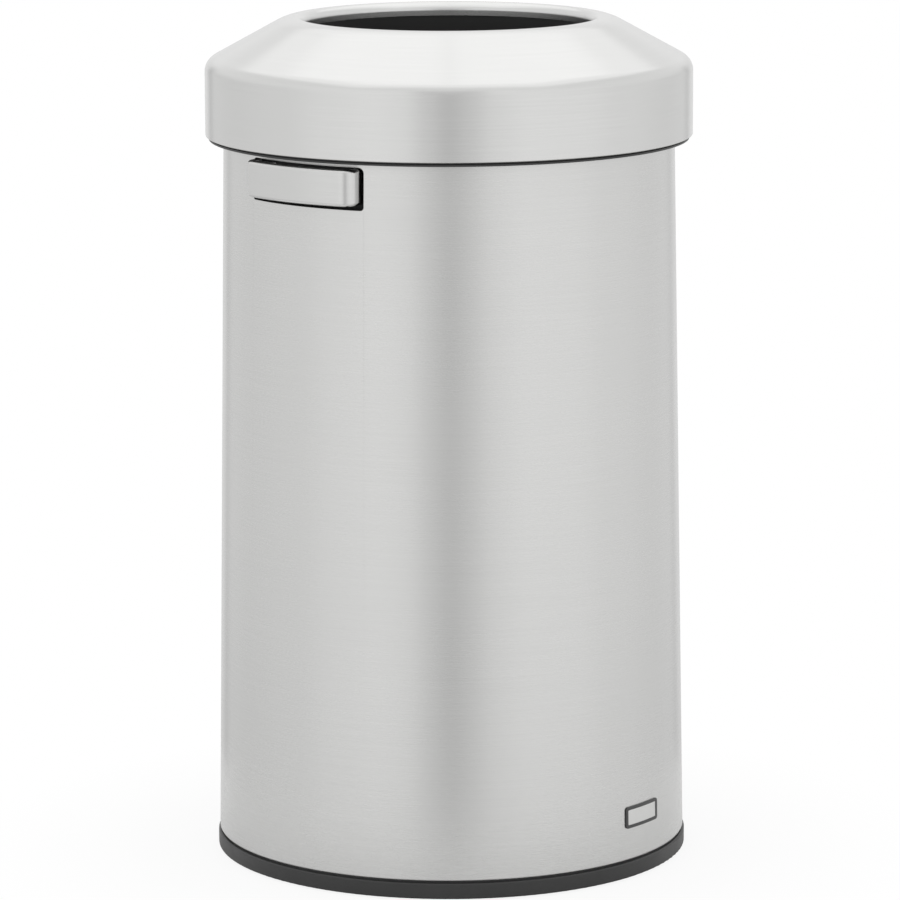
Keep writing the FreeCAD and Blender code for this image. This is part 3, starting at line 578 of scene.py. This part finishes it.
# %% Give each piece its material
finishes = {
    "body_steel": steel_body, "hood_steel": steel_hood, "handle_steel": steel_handle,
    "pan_steel": steel_pan, "rivet_steel": steel_rivet, "hinge_steel": steel_hinge, "zinc": zinc,
    "foot_plastic": foot_black, "hood_plastic": ring_black, "chute_plastic": chute_black,
    "collar_plastic": collar_black, "pocket_plastic": pocket_black, "rubber": rubber,
    "badge_dark": badge_black, "badge_panel": badge_satin,
}
for made in pieces.values():
    made.data.materials.clear()
    made.data.materials.append(finishes[made["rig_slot"]])
print("finishes given to", len(pieces), "pieces")

# %% Mill finish inside the sheets
INWARDS, DOWNWARDS = -0.05, -0.3
lip_reach = (MOUTH + LIP_ROUND) * MM
for made in (body_sheet, hood_shell):
    made.data.materials.append(steel_inside)
    for face in made.data.polygons:
        outwards = face.normal.dot(Vector((face.center.x, face.center.y, 0)).normalized())
        wall_inside = outwards < INWARDS and face.center.xy.length > lip_reach
        underside = made is hood_shell and face.normal.z < DOWNWARDS
        face.material_index = 1 if wall_inside or underside else 0
    inside = sum(face.material_index for face in made.data.polygons)
    print(made.name, "has", inside, "faces in mill finish")

# %% [markdown]
# ## Table
# The container stands on a round pale table in a white room. A lit surface alone would come out
# grey beside the white. So part of what the camera and the metal see of the table is its own even
# white, and the rest is lit surface, which keeps the container's shadow. Towards the rim the even
# white takes over, so the table ends without a visible edge.

# %% Table
TABLE_RADIUS, TABLE_STEPS, TABLE_DROP = 0.46, 128, 0.0003
bm = bmesh.new()
bmesh.ops.create_circle(bm, cap_ends=True, radius=TABLE_RADIUS, segments=TABLE_STEPS)
bmesh.ops.translate(bm, verts=bm.verts, vec=(0, 0, -TABLE_DROP))
table = make_piece("table", bm)
print("table radius", TABLE_RADIUS, "m")

# %% Table's finish
TABLE_PALE, TABLE_UNEVEN, TABLE_ROUGH = (0.80, 0.80, 0.80), 0.01, 0.9
TABLE_EVEN, TABLE_FADE, TABLE_MIRRORED = 0.88, 0.27, 0.1
table_pale, tree, surface, place = empty_material("pale_table")
shader = tree.nodes.new("ShaderNodeBsdfPrincipled")
soft = add(tree, "ShaderNodeTexNoise", Vector=place, Scale=3.0, Detail=2.0)
pale = tint(tree, TABLE_PALE, soft.outputs[0], TABLE_UNEVEN)
tree.links.new(pale, shader.inputs["Base Color"])
shader.inputs["Roughness"].default_value = TABLE_ROUGH
shader.inputs["Specular IOR Level"].default_value = 0.0
ray = tree.nodes.new("ShaderNodeLightPath").outputs
mirrored = math_node(tree, "MULTIPLY", ray["Is Glossy Ray"], TABLE_MIRRORED)
seen = math_node(tree, "MAXIMUM", ray["Is Camera Ray"], mirrored)
seen = math_node(tree, "MAXIMUM", seen, ray["Is Transmission Ray"])
from_middle = add(tree, "ShaderNodeVectorMath", {"operation": "LENGTH"}, i0=place)
share = remap(tree, from_middle.outputs["Value"], TABLE_FADE, TABLE_RADIUS, TABLE_EVEN, 1.0)
even = add(tree, "ShaderNodeEmission", Color=(1, 1, 1, 1), Strength=1.0)
blend = add(tree, "ShaderNodeMixShader", Fac=math_node(tree, "MULTIPLY", seen, share),
            i1=shader.outputs[0], i2=even.outputs[0])
tree.links.new(blend.outputs[0], surface)
table.data.materials.append(table_pale)
print("even white on the table:", TABLE_EVEN, "up to a radius of", TABLE_FADE, "m")

# %% [markdown]
# ## Light
# The world is white at strength 1, so colours render as written. One lamp overhead would give the
# cone a hard spot. Softboxes light it evenly: a wide weak one and two side by side, whose gap shows
# as a slightly darker streak down the middle.

# %% Room
world = bpy.data.worlds.new("white_room")
bpy.context.scene.world = world
world.use_nodes = True
room = world.node_tree.nodes["Background"].inputs
room["Color"].default_value = (1, 1, 1, 1)
room["Strength"].default_value = 1.0
VIEW_AZIMUTH = math.radians(-50.37)
towards = Vector((math.sin(VIEW_AZIMUTH), -math.cos(VIEW_AZIMUTH), 0))
sideways = Vector((math.cos(VIEW_AZIMUTH), math.sin(VIEW_AZIMUTH), 0))
print("the camera's side:", [round(v, 3) for v in towards])


# %% Softboxes
def softbox(name, ahead, beside, height, depth, width, gain):
    """Level lamp that faces down; gain is what it adds to the white room where metal mirrors it."""
    lamp = bpy.data.lights.new(name, "AREA")
    lamp.shape = "RECTANGLE"
    lamp.size = width
    lamp.size_y = depth
    lamp.energy = gain * math.pi * width * depth
    made = bpy.data.objects.new(name, lamp)
    made.location = towards * ahead + sideways * beside + Vector((0, 0, height))
    made.rotation_euler = (0, 0, VIEW_AZIMUTH)
    bpy.context.scene.collection.objects.link(made)


softbox("softbox_wide", ahead=-2.0, beside=0.0, height=4.0, depth=9.0, width=6.0, gain=0.27)
softbox("softbox_left", ahead=-1.1, beside=-0.77, height=3.6, depth=3.8, width=1.46, gain=0.15)
softbox("softbox_right", ahead=-1.1, beside=0.77, height=3.6, depth=3.8, width=1.46, gain=0.15)

# %% [markdown]
# ## Studio wall
# Metal shows what stands round it. Separate boards would leave hard edges in it, so one curved wall
# of soft greys, out of the camera's sight, gives the body its tones: a dark strip behind the camera,
# a bright panel at each side of it, slightly darker sides, and two narrow dark strips that show as
# thin lines near the outline. The wall's foot is a little darker. Its head, which the cone mirrors,
# has greys of its own.

# %% Greys of the wall
WALL_PEAK = 1.2
WALL_TONES = [(-180, 0.90), (-153, 0.86), (-147, 0.58), (-141, 0.86), (-125, 0.88), (-80, 0.955),
              (-55, 1.05), (-34, 1.10), (-20, 1.06), (-9, 0.86), (0, 0.70), (9, 0.84), (20, 1.02),
              (36, 1.10), (60, 1.08), (85, 1.0), (125, 0.90), (140, 0.88), (146, 0.66),
              (152, 0.86), (180, 0.90)]
HEAD_TONES = [(-180, 1.0), (-90, 1.03), (-22, 1.08), (-8, 0.82), (8, 0.82), (22, 1.08),
              (90, 1.03), (180, 1.0)]


def grey_ramp(tree, angle, stops):
    """Greys round the wall; stops are (angle from the camera's side in degrees, grey)."""
    turn = remap(tree, angle, -math.pi, math.pi, 0.0, 1.0)
    ramp = add(tree, "ShaderNodeValToRGB", Fac=turn)
    ramp.color_ramp.interpolation = "EASE"
    while len(ramp.color_ramp.elements) < len(stops):
        ramp.color_ramp.elements.new(0.5)
    for element, (at, value) in zip(ramp.color_ramp.elements, stops):
        element.position = at / 360 + 0.5
        element.color = (value / WALL_PEAK, value / WALL_PEAK, value / WALL_PEAK, 1)
    return ramp.outputs["Color"]


print("greys round the wall:", len(WALL_TONES), "and round its head:", len(HEAD_TONES))

# %% Curved wall
WALL_LOW, WALL_HIGH, WALL_RADIUS, WALL_STEPS = -1.6, 2.0, 2.3, 96
bm = bmesh.new()
foot = bmesh.ops.create_vert(bm, co=towards * WALL_RADIUS + Vector((0, 0, WALL_LOW)))["vert"][0]
top = bmesh.ops.extrude_vert_indiv(bm, verts=[foot])["verts"][0]
top.co.z = WALL_HIGH
bmesh.ops.spin(bm, geom=bm.verts[:] + bm.edges[:], cent=(0, 0, 0), axis=(0, 0, 1),
               angle=2 * math.pi, steps=WALL_STEPS, use_merge=True)
wall = make_piece("studio_wall", bm)
wall.visible_camera = False
print("wall radius", WALL_RADIUS, "m")

# %% Wall's glow
WALL_FOOT, WALL_FOOT_TONE = (-0.6, -0.15), 0.86
WALL_HEAD = (0.95, 1.3)
wall_grey, tree, surface, place = empty_material("studio_wall_grey")
ahead = add(tree, "ShaderNodeVectorMath", {"operation": "DOT_PRODUCT"}, i0=place, i1=towards)
beside = add(tree, "ShaderNodeVectorMath", {"operation": "DOT_PRODUCT"}, i0=place, i1=sideways)
angle = math_node(tree, "ARCTAN2", beside.outputs["Value"], ahead.outputs["Value"])
height = add(tree, "ShaderNodeSeparateXYZ", Vector=place).outputs["Z"]
foot_glow = remap(tree, height, *WALL_FOOT, WALL_FOOT_TONE * WALL_PEAK, WALL_PEAK)
lower = add(tree, "ShaderNodeEmission", Color=grey_ramp(tree, angle, WALL_TONES),
            Strength=foot_glow)
upper = add(tree, "ShaderNodeEmission", Color=grey_ramp(tree, angle, HEAD_TONES),
            Strength=WALL_PEAK)
glow = add(tree, "ShaderNodeMixShader", Fac=remap(tree, height, *WALL_HEAD, 0.0, 1.0),
           i1=lower.outputs[0], i2=upper.outputs[0])
tree.links.new(glow.outputs[0], surface)
wall.data.materials.append(wall_grey)
print("wall's head begins at", WALL_HEAD[0], "m")

# %% [markdown]
# ## Camera
# The camera stands where the photograph was taken: a long lens, about ten degrees above the
# horizon, seeing the left handle and the front. A Track To constraint would aim it, but not give its
# slight roll, so its place and turn, fitted to the container's outline, are set as one matrix.

# %% Camera
PITCH, ROLL = math.radians(10.42), math.radians(0.196)
DISTANCE, LENS, SENSOR = 4.725, 203.3, 36
AIM_HEIGHT, AIM_BESIDE = 0.37245, -0.00017
back = towards * math.cos(PITCH) + Vector((0, 0, math.sin(PITCH)))
upward = back.cross(sideways)
camera = bpy.data.objects.new("photo_camera", bpy.data.cameras.new("photo_camera"))
camera.data.sensor_width = SENSOR
camera.data.lens = LENS
right = sideways * math.cos(ROLL) - upward * math.sin(ROLL)
above = upward * math.cos(ROLL) + sideways * math.sin(ROLL)
turn = Matrix((right, above, back)).transposed().to_4x4()
stand = Vector((0, 0, AIM_HEIGHT)) + sideways * AIM_BESIDE + back * DISTANCE
camera.matrix_world = Matrix.Translation(stand) @ turn
bpy.context.scene.collection.objects.link(camera)
bpy.context.scene.camera = camera
bpy.context.scene.view_settings.view_transform = "Standard"
print("camera at", [round(v, 3) for v in stand])

# %% [markdown]
# ## Finish
# At the end the view layer is brought up to date.

# %% Update the view layer
bpy.context.view_layer.update()
